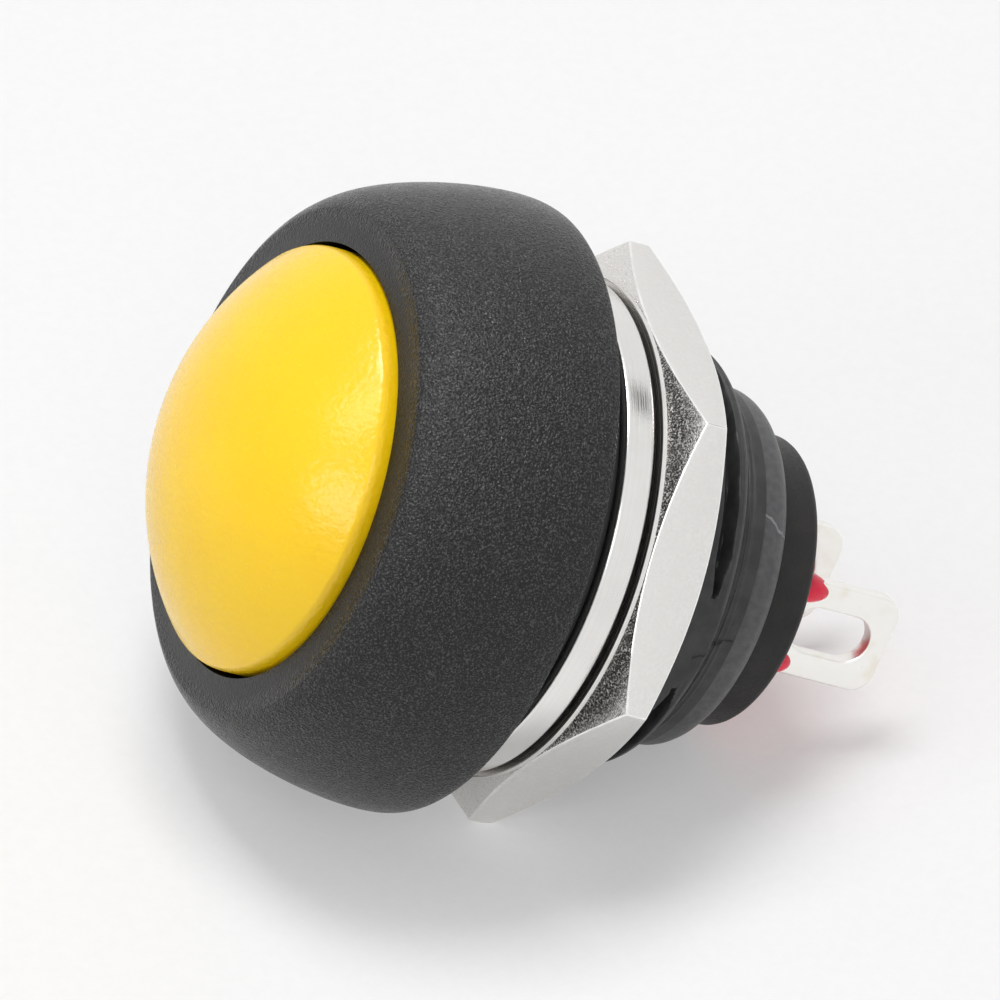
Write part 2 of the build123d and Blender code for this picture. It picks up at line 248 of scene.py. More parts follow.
class Recipe(Tree):
    """A material under construction, read in Object coordinates."""

    def __init__(self, name: str, **constants: object) -> None:
        """Start a material from a Principled shader.

        Args:
            name: The material's name.
            constants: Shader sockets that are the same all over, with _ for spaces.
        """
        self.material = bpy.data.materials.new(name)
        self.material.use_nodes = True
        super().__init__(self.material.node_tree)
        self.shader = self.node("ShaderNodeBsdfPrincipled")
        self.surface = self.node("ShaderNodeOutputMaterial").inputs["Surface"]
        self.join(self.shader.outputs["BSDF"], self.surface)
        self.place = self.node("ShaderNodeTexCoord").outputs["Object"]
        for key, value in constants.items():
            self.shader.inputs[key.replace("_", " ")].default_value = value

    def scaled(self, scale: Sequence[float]) -> Socket:
        """Stretch the Object coordinates by a factor along X, Y and Z."""
        mapping = self.node("ShaderNodeMapping")
        mapping.inputs["Scale"].default_value = scale
        self.join(self.place, mapping.inputs["Vector"])
        return mapping.outputs["Vector"]

    def grain(self, size: float, detail: float = 2.0, roughness: float = 0.5,
              vector: Socket | None = None) -> Socket:
        """Add cloudy noise, about 0 to 1.

        Args:
            size: Rough size of a grain in millimetres.
            detail: Number of finer layers.
            roughness: Strength of the finer layers.
            vector: Coordinates to read, or none for Object coordinates.
        """
        made = self.node("ShaderNodeTexNoise")
        made.inputs["Scale"].default_value = 1.0 / (size * MM)
        made.inputs["Detail"].default_value = detail
        made.inputs["Roughness"].default_value = roughness
        self.join(vector or self.place, made.inputs["Vector"])
        return made.outputs["Fac"]

    def pits(self, size: float) -> Socket:
        """Add rounded cells of about a size in millimetres, and return the distance in them."""
        made = self.node("ShaderNodeTexVoronoi", feature="F1")
        made.inputs["Scale"].default_value = 1.0 / (size * MM)
        self.join(self.place, made.inputs["Vector"])
        return made.outputs["Distance"]

    def ramp(self, value: Socket, low: float, high: float, to_low: float,
             to_high: float) -> Socket:
        """Map the range low to high to the range to_low to to_high, held at both ends."""
        made = self.node("ShaderNodeMapRange", interpolation_type="SMOOTHSTEP")
        for key, number in (("From Min", low), ("From Max", high), ("To Min", to_low),
                            ("To Max", to_high)):
            made.inputs[key].default_value = number
        self.join(value, made.inputs["Value"])
        return made.outputs["Result"]

    def blend(self, share: Socket, first: Colour | Socket,
              second: Colour | Socket) -> Socket:
        """Mix two colours, by 0 for the first and 1 for the second."""
        made = self.node("ShaderNodeMix", data_type="RGBA")
        self.join(share, made.inputs["Factor"])
        for key, value in (("A", first), ("B", second)):
            socket = next(s for s in made.inputs if s.name == key and s.type == "RGBA")
            if isinstance(value, tuple):
                socket.default_value = (*value, 1.0)
            else:
                self.join(value, socket)
        return next(s for s in made.outputs if s.type == "RGBA")

    def colour(self, source: Socket) -> None:
        """Give the shader its colour."""
        self.join(source, self.shader.inputs["Base Color"])

    def roughness(self, source: Socket, low: float, high: float, first: float,
                  last: float) -> None:
        """Give the shader a roughness that goes from first to last as a source goes low to high."""
        self.join(self.ramp(source, low, high, first, last), self.shader.inputs["Roughness"])

    def bump(self, height: Socket, depth: float) -> None:
        """Add relief, about 0 to 1, of a full depth in millimetres on top of what is there."""
        made = self.node("ShaderNodeBump")
        made.inputs["Distance"].default_value = depth * MM
        made.inputs["Strength"].default_value = 1.0
        self.join(height, made.inputs["Height"])
        normal = self.shader.inputs["Normal"]
        if normal.is_linked:
            self.join(normal.links[0].from_socket, made.inputs["Normal"])
        self.join(made.outputs["Normal"], normal)

    def along(self, axis: str) -> Socket:
        """Give one Object coordinate, in metres."""
        parts = self.node("ShaderNodeSeparateXYZ")
        self.join(self.place, parts.inputs["Vector"])
        return parts.outputs[axis]

    def radius(self) -> Socket:
        """Give the distance from the switch axis, in metres."""
        squares = [self.math("MULTIPLY", part, part) for part in map(self.along, "XZ")]
        return self.math("SQRT", self.math("ADD", *squares))

    def seam(self, seam: "Seam") -> Socket:
        """Mark a wandering line that runs along the switch: 1 on the line and 0 off it."""
        angle = self.math("ARCTAN2", self.along("Z"), self.along("X"))
        station = self.math("SUBTRACT", self.along("Y"), seam.first * MM)
        drift = self.math("MULTIPLY", self.math("SUBTRACT", self.grain(0.35, 3.0), 0.5),
                          math.radians(seam.sway) * 2)
        lean = self.math("MULTIPLY", station, math.radians(seam.slope) / MM)
        line = self.math("ADD", lean, drift)
        away = self.math("ABSOLUTE", self.math("SUBTRACT", self.math("SUBTRACT", angle, line),
                                               math.radians(seam.turn)))
        width, length, fade = math.radians(seam.width), (seam.last - seam.first) * MM, 0.05 * MM
        across = self.ramp(away, width * 0.4, width, 1.0, 0.0)
        begun = self.ramp(station, 0.0, fade, 0.0, 1.0)
        ended = self.ramp(station, length - fade, length, 1.0, 0.0)
        return self.math("MULTIPLY", across, self.math("MULTIPLY", begun, ended))

    def turning(self, pitch: float, wander: float = 0.3) -> Socket:
        """Add the fine rings of a lathe tool, by pitch in millimetres and how far they wander."""
        joined = self.node("ShaderNodeCombineXYZ")
        self.join(self.radius(), joined.inputs["X"])
        self.join(self.along("Y"), joined.inputs["Y"])
        drift = self.math("MULTIPLY", self.grain(4.0, 1.0), wander * pitch * MM)
        self.join(drift, joined.inputs["Z"])
        return self.grain(pitch, 3.0, 0.6, joined.outputs["Vector"])


@dataclass(frozen=True)
class EtchedPlastic:
    """Black moulding with a spark-eroded skin: a fine, even grain with painted glints on its peaks,
    which fade with the relief towards the mouth as a painted dim reflection of the cap.
    """

    name: str = "bezel_etched"
    colour: Colour = (0.0030, 0.0030, 0.0032)
    # Paler colour of the painted glints on the grain's peaks.
    crest: Colour = (0.062, 0.062, 0.064)
    roughness: float = 0.25
    gloss: float = 0.32
    grain_size: float = 0.058
    grain_depth: float = 0.043
    pit_size: float = 0.085
    pit_depth: float = 0.026
    # Between these radii the painted glints and the relief fade to the share below, painting the
    # cap's dim reflection near the mouth.
    smooth_within: float = 6.42
    full_beyond: float = 7.10
    glint_and_relief_fade: float = 0.22

    def make(self) -> Material:
        """Build the material."""
        recipe = Recipe(self.name, Specular_IOR_Level=self.gloss, IOR=1.5)
        fine = recipe.grain(self.grain_size, 1.0, 0.5)
        coarse = recipe.grain(self.grain_size * 8, 2.0)
        glint_and_relief_fade = recipe.ramp(recipe.radius(), self.smooth_within * MM, self.full_beyond * MM,
                           self.glint_and_relief_fade, 1.0)
        # Painted glints: the grain's peaks take the crest colour, faded towards the mouth.
        painted_glints = recipe.math("MULTIPLY", recipe.ramp(fine, 0.46, 0.72, 0.0, 1.0), glint_and_relief_fade)
        recipe.colour(recipe.blend(painted_glints, self.colour, self.crest))
        recipe.roughness(coarse, 0.3, 0.7, self.roughness - 0.03, self.roughness + 0.04)
        recipe.bump(recipe.math("MULTIPLY", fine, glint_and_relief_fade), self.grain_depth)
        recipe.bump(recipe.math("MULTIPLY", recipe.pits(self.pit_size), glint_and_relief_fade), self.pit_depth)
        return recipe.material


@dataclass(frozen=True)
class Seam:
    """A line along a moulding: a parting line, or the mark where a roll started.

    It starts at the first station at a turn, gains degrees by its slope for each millimetre, and
    sways. Its half width is in degrees too, and its depth in millimetres.
    """

    turn: float
    slope: float
    sway: float
    width: float
    first: float
    last: float
    colour: Colour
    depth: float


@dataclass(frozen=True)
class SmoothPlastic:
    """Plain moulded plastic with a slight cloudiness and an almost even surface."""

    name: str
    colour: Colour
    roughness: float = 0.45
    cloud_size: float = 1.2
    cloud: float = 0.10
    ripple_depth: float = 0.006
    gloss: float = 0.5
    seams: tuple[Seam, ...] = ()

    def make(self) -> Material:
        """Build the material."""
        recipe = Recipe(self.name, Specular_IOR_Level=self.gloss)
        cloud = recipe.grain(self.cloud_size, 3.0)
        fine = recipe.grain(self.cloud_size * 0.12, 3.0)
        pale, dark = dimmed(self.colour, 1 + self.cloud * 2), dimmed(self.colour, 1 - self.cloud)
        skin = recipe.blend(recipe.ramp(cloud, 0.3, 0.7, 0.0, 1.0), dark, pale)
        recipe.bump(fine, self.ripple_depth)
        for seam in self.seams:
            mark = recipe.seam(seam)
            skin = recipe.blend(mark, skin, seam.colour)
            recipe.bump(mark, seam.depth)
        recipe.colour(skin)
        recipe.roughness(fine, 0.2, 0.8, self.roughness - 0.06, self.roughness + 0.08)
        return recipe.material


@dataclass(frozen=True)
class CapPlastic:
    """Yellow satin moulding with a faint orange-peel skin."""

    name: str = "cap_yellow"
    colour: Colour = (0.96, 0.615, 0.004)
    shade: Colour = (0.93, 0.545, 0.003)
    roughness: float = 0.23

    def make(self) -> Material:
        """Build the material."""
        recipe = Recipe(self.name, Specular_IOR_Level=0.5, Subsurface_Weight=0.12,
                        Subsurface_Scale=0.4 * MM, Subsurface_Radius=(1.0, 0.6, 0.1))
        peel = recipe.grain(0.20, 1.0, 0.5)
        fine = recipe.grain(0.07, 2.0, 0.5)
        cloud = recipe.grain(2.5, 2.0)
        shaded = recipe.ramp(cloud, 0.3, 0.7, 0.0, 0.35)
        recipe.colour(recipe.blend(shaded, self.colour, self.shade))
        recipe.roughness(fine, 0.2, 0.8, self.roughness - 0.05, self.roughness + 0.06)
        recipe.bump(peel, 0.017)
        recipe.bump(fine, 0.003)
        return recipe.material


@dataclass(frozen=True)
class TurnedNickel:
    """Nickel plate on a turned face or barrel, with the fine rings of the lathe tool."""

    name: str
    colour: Colour = (0.80, 0.79, 0.765)
    roughness: float = 0.24
    pitch: float = 0.05
    groove_depth: float = 0.004
    blotch: float = 0.08
    line: float = 0.16

    def make(self) -> Material:
        """Build the material."""
        recipe = Recipe(self.name, Metallic=1.0)
        rings = recipe.turning(self.pitch)
        cloud = recipe.grain(1.1, 3.0)
        dull = dimmed(self.colour, 1 - self.blotch)
        lines = recipe.ramp(rings, 0.45, 0.68, 0.0, 0.7)
        shade = recipe.blend(lines, self.colour, dimmed(self.colour, 1 - self.line))
        recipe.colour(recipe.blend(recipe.ramp(cloud, 0.35, 0.7, 0.0, 0.6), shade, dull))
        recipe.roughness(rings, 0.3, 0.7, self.roughness - 0.06, self.roughness + 0.08)
        recipe.bump(rings, self.groove_depth)
        recipe.bump(recipe.grain(0.16, 2.0), 0.002)
        return recipe.material


@dataclass(frozen=True)
class DrawnNickel:
    """Satin nickel plate on the drawn flats of the nut, with faint streaks along the axis."""

    name: str = "nut_flats"
    colour: Colour = (0.80, 0.79, 0.77)
    roughness: float = 0.36

    def make(self) -> Material:
        """Build the material."""
        recipe = Recipe(self.name, Metallic=1.0)
        streaks = recipe.grain(0.07, 3.0, 0.6, recipe.scaled((1.0, 0.08, 1.0)))
        cloud = recipe.grain(0.9, 3.0)
        fleck = recipe.grain(0.10, 3.0, 0.7)
        dull = dimmed(self.colour, 0.93)
        shade = recipe.blend(recipe.ramp(fleck, 0.35, 0.65, 0.0, 1.0), dull, self.colour)
        recipe.colour(recipe.blend(recipe.ramp(cloud, 0.3, 0.7, 0.0, 0.6), shade, dull))
        recipe.roughness(cloud, 0.3, 0.7, self.roughness - 0.04, self.roughness + 0.06)
        recipe.bump(streaks, 0.003)
        recipe.bump(recipe.grain(0.22, 2.0), 0.003)
        return recipe.material


@dataclass(frozen=True)
class RoughNickel:
    """Nickel plate over a coarsely turned chamfer: short torn strokes in relief, given a paler
    colour that paints their glints.
    """

    name: str = "nut_chamfers"
    colour: Colour = (0.74, 0.72, 0.70)
    roughness: float = 0.21
    stroke: float = 0.052
    stroke_depth: float = 0.022

    def make(self) -> Material:
        """Build the material."""
        recipe = Recipe(self.name, Metallic=1.0)
        rings = recipe.turning(0.06, 1.0)
        tears = recipe.grain(self.stroke, 2.0, 0.6)
        torn = recipe.ramp(tears, 0.61, 0.72, 0.0, 1.0)
        # The torn strokes' paler colour is a painted glint.
        recipe.colour(recipe.blend(torn, self.colour, (0.95, 0.94, 0.92)))
        recipe.roughness(tears, 0.3, 0.7, self.roughness - 0.05, self.roughness + 0.12)
        recipe.bump(rings, 0.005)
        recipe.bump(torn, self.stroke_depth)
        recipe.bump(tears, 0.006)
        return recipe.material


@dataclass(frozen=True)
class TinnedStrip:
    """Tin on stamped brass: a creamy silver with soft waves, warmer in places."""

    name: str = "lug_tinned"
    colour: Colour = (0.91, 0.90, 0.865)
    warm: Colour = (0.80, 0.71, 0.57)
    roughness: float = 0.32

    def make(self) -> Material:
        """Build the material."""
        recipe = Recipe(self.name, Metallic=1.0)
        wave = recipe.grain(0.7, 2.0)
        fine = recipe.grain(0.12, 2.0)
        recipe.colour(recipe.blend(recipe.ramp(wave, 0.5, 0.85, 0.0, 0.5), self.colour, self.warm))
        recipe.roughness(fine, 0.2, 0.8, self.roughness - 0.05, self.roughness + 0.1)
        recipe.bump(wave, 0.012)
        recipe.bump(fine, 0.002)
        return recipe.material


@dataclass(frozen=True)
class Resin:
    """Glossy red potting resin: bright where it stands thin on the lugs, deep in the pool."""

    name: str = "potting_red"
    colour: Colour = (1.0, 0.018, 0.075)
    deep: Colour = (0.80, 0.010, 0.035)

    def make(self, surface: float) -> Material:
        """Build the material for a pool whose surface lies at a station."""
        recipe = Recipe(self.name, Roughness=0.22, Specular_IOR_Level=0.35, Subsurface_Weight=0.25,
                        Subsurface_Scale=0.3 * MM, Subsurface_Radius=(1.0, 0.15, 0.1))
        standing = recipe.ramp(recipe.along("Y"), surface * MM, (surface + 0.25) * MM, 0.0, 1.0)
        cloud = recipe.ramp(recipe.grain(0.8, 2.0), 0.35, 0.75, 1.0, 0.85)
        pale = recipe.math("MULTIPLY", standing, cloud)
        recipe.colour(recipe.blend(pale, self.deep, self.colour))
        recipe.bump(recipe.grain(0.5, 2.0), 0.012)
        return recipe.material


@dataclass(frozen=True)
class PlainMetal:
    """Drawn or stamped metal for the inner parts."""

    name: str
    colour: Colour
    roughness: float = 0.3

    def make(self) -> Material:
        """Build the material."""
        recipe = Recipe(self.name, Metallic=1.0)
        cloud = recipe.grain(0.5, 3.0)
        dull = dimmed(self.colour, 0.85)
        recipe.colour(recipe.blend(recipe.ramp(cloud, 0.3, 0.75, 0.0, 1.0), self.colour, dull))
        recipe.roughness(cloud, 0.2, 0.8, self.roughness - 0.05, self.roughness + 0.1)
        recipe.bump(recipe.grain(0.06, 2.0), 0.001)
        return recipe.material


# ---- The switch ----


@dataclass
class ButtonCap:
    """The domed yellow cap, a shell with a skirt that the bezel's mouth guides."""

    steps: int = 160
    arc_steps: int = 40
    shoulder: float = 0.20
    wall: float = 1.0
    crown_wall: float = 1.35
    inner_bevel: float = 0.65
    swell: float = 0.46
    sphere: float = 7.90
    fill: float = 0.06
    socket_radius: float = 3.0
    socket_length: float = 2.7
    plastic: CapPlastic = CapPlastic()

    def build(self) -> None:
        """Build the cap from the frame's box of its node."""
        low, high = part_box("button_cap")
        radius, rear = high.x / MM + self.fill, high.y / MM
        apex = low.y / MM - self.swell
        sweep = math.asin(radius / self.sphere)
        turns = [sweep * k / self.arc_steps for k in range(self.arc_steps + 1)]
        arc = [(self.sphere * math.sin(a), apex + self.sphere * (1 - math.cos(a))) for a in turns]
        inner = radius - self.wall
        ceiling = low.y / MM + self.crown_wall
        socket_end = ceiling + self.socket_length
        corners = arc + [(radius, rear), (inner, rear), (inner, ceiling + self.inner_bevel),
                         (inner - self.inner_bevel, ceiling), (self.socket_radius, ceiling),
                         (self.socket_radius, socket_end), (0.0, socket_end)]
        bm = turned(corners, self.steps, ((self.arc_steps, self.shoulder, 8),))
        finish_piece(bm, "cap_shell", [self.plastic.make()], Body.BUTTON,
                     "button_cap")


@dataclass
class Housing:
    """The black moulding: bezel, threaded shank, relief and the rolled lip at its end.

    The thread is interrupted by two flats. Pairs of numbers say where a form starts and ends:
    degrees from the flats for fading and interruption, shares of the pitch for the flanks, and
    millimetres past the thread's end for what happens there.
    """

    steps: int = 240
    mouth: float = 6.00
    mouth_front: float = -5.43
    brow: float = 6.95
    brow_front: float = -5.35
    brow_round: float = 0.16
    fine_round: float = 0.05
    shoulder: tuple[float, float] = (8.12, -4.93)
    belly: tuple[float, float] = (8.7575, -0.7475)
    rim: float = 8.45
    crown_points: int = 56
    smooth_edge: float = 6.04
    web_front: float = -1.60
    web_rear: float = 1.20
    web_joint: float = 1.0
    bore: float = 2.05
    chamber: float = 4.10
    core: float = 5.30
    rows: int = 210
    crest: float = 5.95
    root: float = 5.42
    pitch: float = 0.75
    groove: float = 5.21
    thread_end: float = 5.50
    flat: float = 5.75
    fading: tuple[float, float] = (13.5, 25.0)
    interruption: tuple[float, float] = (13.0, 15.5)
    flanks: tuple[float, float] = (0.34, 0.70)
    flank_losses: tuple[float, float] = (0.32, 0.45)
    last_groove: tuple[float, float] = (-0.12, -0.04)
    drop: float = 0.09
    dropping: tuple[float, float] = (-0.35, -0.10)
    run_out: tuple[float, float] = (0.04, 0.62)
    relief: float = 5.05
    lip_front: float = 6.60
    lip_step: float = 0.08
    lip_edge: float = 0.16
    lip_round: float = 0.60
    lip_wall: float = 0.92
    roll: float = 0.43
    pocket: float = 0.90
    pocket_step: float = 0.31
    overlap: float = 0.10
    ridges: tuple[tuple[float, float, float], ...] = (
        (5.50, 0.025, 0.03), (5.82, 0.03, 0.05), (6.20, 0.03, 0.04), (6.34, 0.03, 0.03))
    etched: EtchedPlastic = EtchedPlastic()
    # The mouth wall's faint brown tint is a painted reflection of the yellow cap.
    smooth: SmoothPlastic = SmoothPlastic(
        "mouth_smooth", (0.0040, 0.0034, 0.0027), roughness=0.34, cloud_size=1.0, cloud=0.1,
        ripple_depth=0.004, gloss=0.25)
    shank: SmoothPlastic = SmoothPlastic(
        "shank_black", (0.030, 0.030, 0.031), roughness=0.42, cloud_size=0.5, cloud=0.2,
        ripple_depth=0.010, gloss=0.42, seams=(
            Seam(turn=-3.3, slope=3.0, sway=2.4, width=0.55, first=5.27, last=6.66,
                 colour=(0.002, 0.002, 0.002), depth=-0.03),))
    lip: SmoothPlastic = SmoothPlastic(
        "lip_grey", (0.058, 0.059, 0.061), roughness=0.40, cloud_size=0.22, cloud=0.18,
        ripple_depth=0.014, gloss=0.60, seams=(
            Seam(turn=43.0, slope=-7.0, sway=2.2, width=0.8, first=6.62, last=7.60,
                 colour=(0.22, 0.22, 0.23), depth=0.03),))

    def build_bezel(self) -> None:
        """Build the bezel with its mouth, down to the core under the thread."""
        knots = [place(*knot) for knot in ((self.brow, self.brow_front), self.shoulder, self.belly,
                                           (self.rim, 0.0))]
        crown = interpolate_bezier(*knots, self.crown_points)
        inside = [(self.core, 0.0), (self.core, self.web_joint), (self.chamber, self.web_joint),
                  (self.chamber, self.web_rear), (self.bore, self.web_rear),
                  (self.bore, self.web_front), (self.mouth, self.web_front),
                  (self.mouth, self.mouth_front)]
        bm = bmesh.new()
        drawn = outline(bm, [*crown, *(place(*corner) for corner in inside)])
        brow = round_corners(bm, drawn[:1], self.brow_round, 3)
        round_corners(bm, [drawn[self.crown_points]], self.fine_round, 3)
        round_corners(bm, [max(brow, key=lambda vert: vert.co.x)], self.fine_round, 3)
        spin_round(bm, self.steps)
        for face in bm.faces:
            centre = face.calc_center_median()
            face.material_index = int(reach_of(centre) < self.smooth_edge and centre.y < 0)
        finish_piece(bm, "bezel_shell", [self.etched.make(), self.smooth.make()], Body.SWITCH,
                     "housing")

    def shank_radius(self, point: Vector) -> float:
        """Give the shank's radius in millimetres near a point, with the interrupted thread."""
        turn, station = turn_of(point), point.y / MM
        side = abs(turn) if abs(turn) < 90 else 180 - abs(turn)
        past = station - self.thread_end
        narrow = 1.0 - ease(side, *self.fading)
        phase = ((station - self.groove) / self.pitch + turn / 360.0 + 0.5) % 1.0
        flank = abs(phase - 0.5) * 2.0
        starts, ends = (full - loss * narrow for full, loss in zip(self.flanks, self.flank_losses))
        ridge = max(ease(flank, starts, ends), 1.0 - ease(side, *self.interruption),
                    ease(past, *self.last_groove))
        radius = self.root + (self.crest - self.root) * ridge
        radius -= self.drop * ease(past, *self.dropping)
        radius += (self.relief - radius) * ease(past, *self.run_out)
        for line, width, height in self.ridges:
            radius += height * math.exp(-((station - line) / width) ** 2)
        return min(radius, self.flat / max(math.cos(math.radians(side)), 0.2))

    def build_shank(self) -> None:
        """Build the skin of the threaded shank and the relief behind it, over a plain core."""
        end = self.lip_front + self.overlap
        seat = self.core - 0.6
        skin = [(self.crest, end * k / self.rows) for k in range(self.rows + 1)]
        bm = turned([(seat, 0.0), *skin, (seat, end)], self.steps, closed=False)
        for vert in bm.verts:
            if reach_of(vert.co) > self.core:
                station, turn = vert.co.y / MM, turn_of(vert.co)
                vert.co = place(self.shank_radius(vert.co), station, turn)
        bmesh.ops.recalc_face_normals(bm, faces=bm.faces)
        finish_piece(bm, "shank_skin", [self.shank.make()], Body.SWITCH,
                     "housing", 50)

    def build_lip(self) -> None:
        """Build the rolled lip that holds the terminal base, and the wall in front of it."""
        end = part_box("housing")[1].y / MM
        outer = self.relief - self.lip_step
        inner, wall = outer - self.lip_wall, self.core - 0.55
        front, pocket = self.web_rear - self.overlap, self.chamber + self.pocket_step
        seat = end - self.roll - self.pocket
        corners = [(self.chamber, front), (wall, front), (wall, self.lip_front),
                   (outer, self.lip_front), (outer, end), (inner, end), (inner, end - self.roll),
                   (pocket, end - self.roll), (pocket, seat), (self.chamber, seat)]
        bm = turned(corners, self.steps, ((3, self.lip_edge, 7), (4, self.lip_round, 7)))
        finish_piece(bm, "rolled_lip", [self.lip.make()], Body.SWITCH, "housing")

    def build(self) -> None:
        """Build every part of the moulding."""
        self.build_bezel()
        self.build_shank()
        self.build_lip()


def ring_shape(node: str, bore: float, edge: float, steps: int) -> BMesh:
    """Turn a ring with two rounded outer edges, with the outer radius and faces of a node's box."""
    low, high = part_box(node)
    outer, front, rear = high.x / MM, low.y / MM, high.y / MM
    return turned([(bore, front), (outer, front), (outer, rear), (bore, rear)], steps,
                  ((1, edge, 5), (2, edge, 5)))


@dataclass
class Gasket:
    """The rubber ring under the bezel."""

    steps: int = 160
    bore: float = 6.0
    rounding: float = 0.18
    rubber: SmoothPlastic = SmoothPlastic(
        "gasket_rubber", (0.016, 0.016, 0.017), roughness=0.62, cloud_size=0.8, cloud=0.1,
        ripple_depth=0.01)

    def build(self) -> None:
        """Build the ring."""
        bm = ring_shape("panel_gasket", self.bore, self.rounding, self.steps)
        finish_piece(bm, "gasket_ring", [self.rubber.make()], Body.SWITCH,
                     "panel_gasket")


@dataclass
class SpacerRing:
    """The turned nickel ring in front of the nut."""

    steps: int = 200
    bore: float = 6.05
    rounding: float = 0.14
    plate: TurnedNickel = TurnedNickel(
        "ring_bright", (0.81, 0.80, 0.78), roughness=0.19, pitch=0.05, groove_depth=0.006,
        blotch=0.08, line=0.10)

    def build(self) -> None:
        """Build the ring."""
        bm = ring_shape("spacer_ring", self.bore, self.rounding, self.steps)
        finish_piece(bm, "ring_turned", [self.plate.make()], Body.RING,
                     "spacer_ring")


@dataclass
class HexNut:
    """The nickel-plated nut: drawn flats, turned faces and corner chamfers on both sides."""

    steps: int = 180
    flats: float = 7.0
    face: float = 6.72
    chamfer_angle: float = 27.0
    bore: float = 6.0
    bore_chamfer: float = 0.30
    bore_band: float = 0.5
    collar_height: float = 0.12
    collar_wall: float = 0.01
    phase: float = 48.3
    edge: float = 0.050
    edge_gap: float = 0.02
    sharp: float = 20.0
    flatness: float = 0.98
    sides: DrawnNickel = DrawnNickel()
    corners: RoughNickel = RoughNickel()
    lathed: TurnedNickel = TurnedNickel(
        "nut_faces", (0.82, 0.80, 0.78), roughness=0.26, pitch=0.06, groove_depth=0.008)
    broken: PlainMetal = PlainMetal("nut_edges", (0.96, 0.955, 0.94), roughness=0.14)

    def zone(self, face: bmesh.types.BMFace) -> int:
        """Choose a face's finish: 0 for the flats, 1 for the chamfers, 2 for what was turned."""
        reach = reach_of(face.calc_center_median())
        if math.hypot(face.normal.x, face.normal.z) > self.flatness:
            return 0 if reach > self.bore + self.bore_band else 2
        if abs(face.normal.y) > self.flatness:
            return 2
        return 1 if reach > self.face else 2

    def build(self) -> None:
        """Build the nut: a turned double cone whose six sides are cut flat."""
        low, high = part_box("hex_nut")
        front, rear = low.y / MM, high.y / MM
        slope = math.tan(math.radians(self.chamfer_angle))
        cone = self.face + (rear - front) / 2 / slope
        collar = self.face + self.collar_height / slope
        mouth = self.bore + self.bore_chamfer
        bm = turned([(self.bore, front + self.bore_chamfer), (mouth, front), (collar, front),
                     (collar + self.collar_wall, front + self.collar_height),
                     (cone, (front + rear) / 2), (self.face, rear), (mouth, rear),
                     (self.bore, rear - self.bore_chamfer)], self.steps)
        for side in range(6):
            turn = self.phase + 30 + 60 * side
            cut = bmesh.ops.bisect_plane(
                bm, geom=bm.verts[:] + bm.edges[:] + bm.faces[:], dist=1e-8, clear_outer=True,
                plane_co=place(self.flats, 0.0, turn), plane_no=place(1.0, 0.0, turn).normalized())
            loop = [e for e in cut["geom_cut"] if isinstance(e, bmesh.types.BMEdge)]
            bmesh.ops.edgeloop_fill(bm, edges=loop)
        bmesh.ops.remove_doubles(bm, verts=bm.verts, dist=WELD)
        bmesh.ops.recalc_face_normals(bm, faces=bm.faces)
        outside = collar + self.edge_gap
        soften(bm, [e for e in bm.edges if e.calc_face_angle(0.0) > math.radians(self.sharp)
                    and min(reach_of(v.co) for v in e.verts) > outside], self.edge, 3)
        for face in bm.faces:
            if face.material_index != 3:
                face.material_index = self.zone(face)
        finishes = [f.make() for f in (self.sides, self.corners, self.lathed, self.broken)]
        finish_piece(bm, "nut_hexagon", finishes, Body.NUT, "hex_nut", 20)


@dataclass
class TerminalBase:
    """The matt black plug that closes the rear, with its potting well."""

    steps: int = 180
    flange_step: float = 0.33
    flange_length: float = 0.88
    rear_round: float = 0.24
    well_wall: float = 0.58
    well_depth: float = 0.83
    plastic: SmoothPlastic = SmoothPlastic(
        "base_black", (0.012, 0.011, 0.0105), roughness=0.50, cloud_size=0.8, cloud=0.2,
        ripple_depth=0.008, gloss=0.34)

    def build(self) -> None:
        """Build the plug."""
        low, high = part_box("terminal_base")
        flange, front, rear = high.x / MM, low.y / MM, high.y / MM
        radius = flange - self.flange_step
        seat, floor = front + self.flange_length, rear - self.well_depth
        well = radius - self.well_wall
        corners = [(0.0, front), (flange, front), (flange, seat), (radius, seat), (radius, rear),
                   (well, rear), (well, floor), (0.0, floor)]
        bm = turned(corners, self.steps, ((4, self.rear_round, 6),))
        finish_piece(bm, "base_plug", [self.plastic.make()], Body.SWITCH,
                     "terminal_base")


